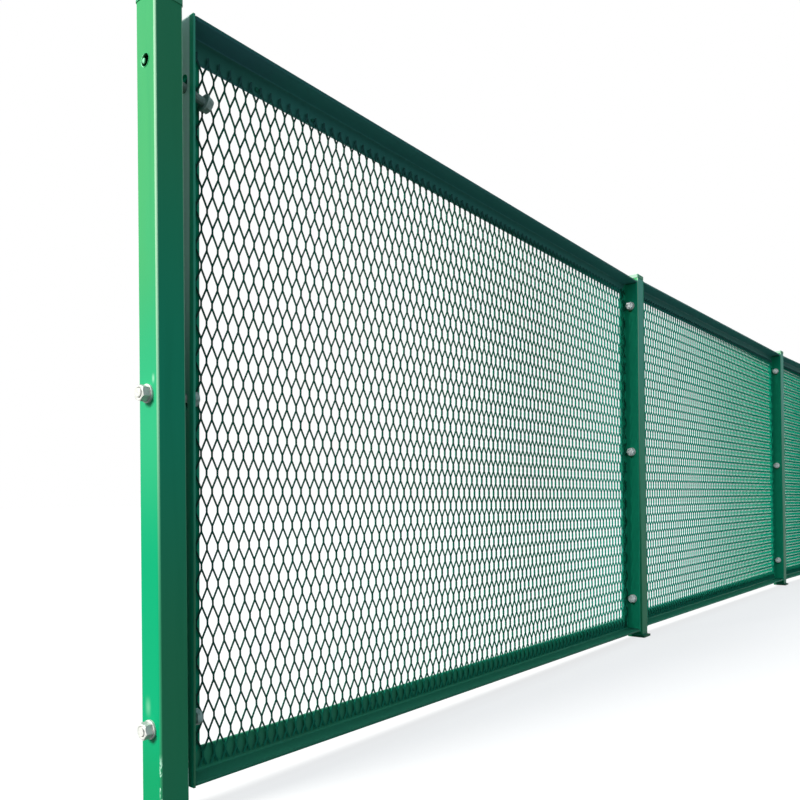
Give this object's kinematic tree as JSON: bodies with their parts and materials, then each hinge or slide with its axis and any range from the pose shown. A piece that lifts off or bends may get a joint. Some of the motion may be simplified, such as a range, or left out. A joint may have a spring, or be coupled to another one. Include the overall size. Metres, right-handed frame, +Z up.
{
  "type": "anti-glare screen",
  "caption": "Green anti-glare screen for a road: square tube posts carrying angle-framed panels of expanded metal, bolted through and running on in bays.",
  "frame": {"origin": "on the underside of the first post's foot plate, on the post's axis", "axes": "+X along the first bay, +Z up, -Y the open side of the panel frames, from which the bolts are reached"},
  "size_m": [4.7046, 0.1804, 1.042],
  "materials": {
    "post_coat": "glossy green powder coat",
    "frame_coat": "glossy green powder coat",
    "mesh_coat": "green powder coat over expanded steel",
    "cap_plastic": "moulded green plastic",
    "bolt_zinc": "zinc-plated steel, slightly dulled",
    "washer_zinc": "zinc-plated steel"
  },
  "bodies": {
    "root": {"post_1": "post_coat", "post_cap_1": "cap_plastic", "foot_plate_1": "post_coat", "bolts_1": "bolt_zinc", "washers_1": "washer_zinc", "nuts_1": "bolt_zinc", "post_2": "post_coat", "post_cap_2": "cap_plastic", "foot_plate_2": "post_coat", "bolts_2": "bolt_zinc", "washers_2": "washer_zinc", "nuts_2": "bolt_zinc", "post_3": "post_coat", "post_cap_3": "cap_plastic", "foot_plate_3": "post_coat", "bolts_3": "bolt_zinc", "washers_3": "washer_zinc", "nuts_3": "bolt_zinc", "post_4": "post_coat", "post_cap_4": "cap_plastic", "foot_plate_4": "post_coat", "bolts_4": "bolt_zinc", "washers_4": "washer_zinc", "nuts_4": "bolt_zinc", "left_stile_1": "frame_coat", "right_stile_1": "frame_coat", "top_rail_1": "frame_coat", "bottom_rail_1": "frame_coat", "mesh_1": "mesh_coat", "left_stile_2": "frame_coat", "right_stile_2": "frame_coat", "top_rail_2": "frame_coat", "bottom_rail_2": "frame_coat", "mesh_2": "mesh_coat", "left_stile_3": "frame_coat", "right_stile_3": "frame_coat", "top_rail_3": "frame_coat", "bottom_rail_3": "frame_coat", "mesh_3": "mesh_coat", "loose_bolt": "bolt_zinc", "loose_washer": "washer_zinc"}
  },
  "joints": []
}
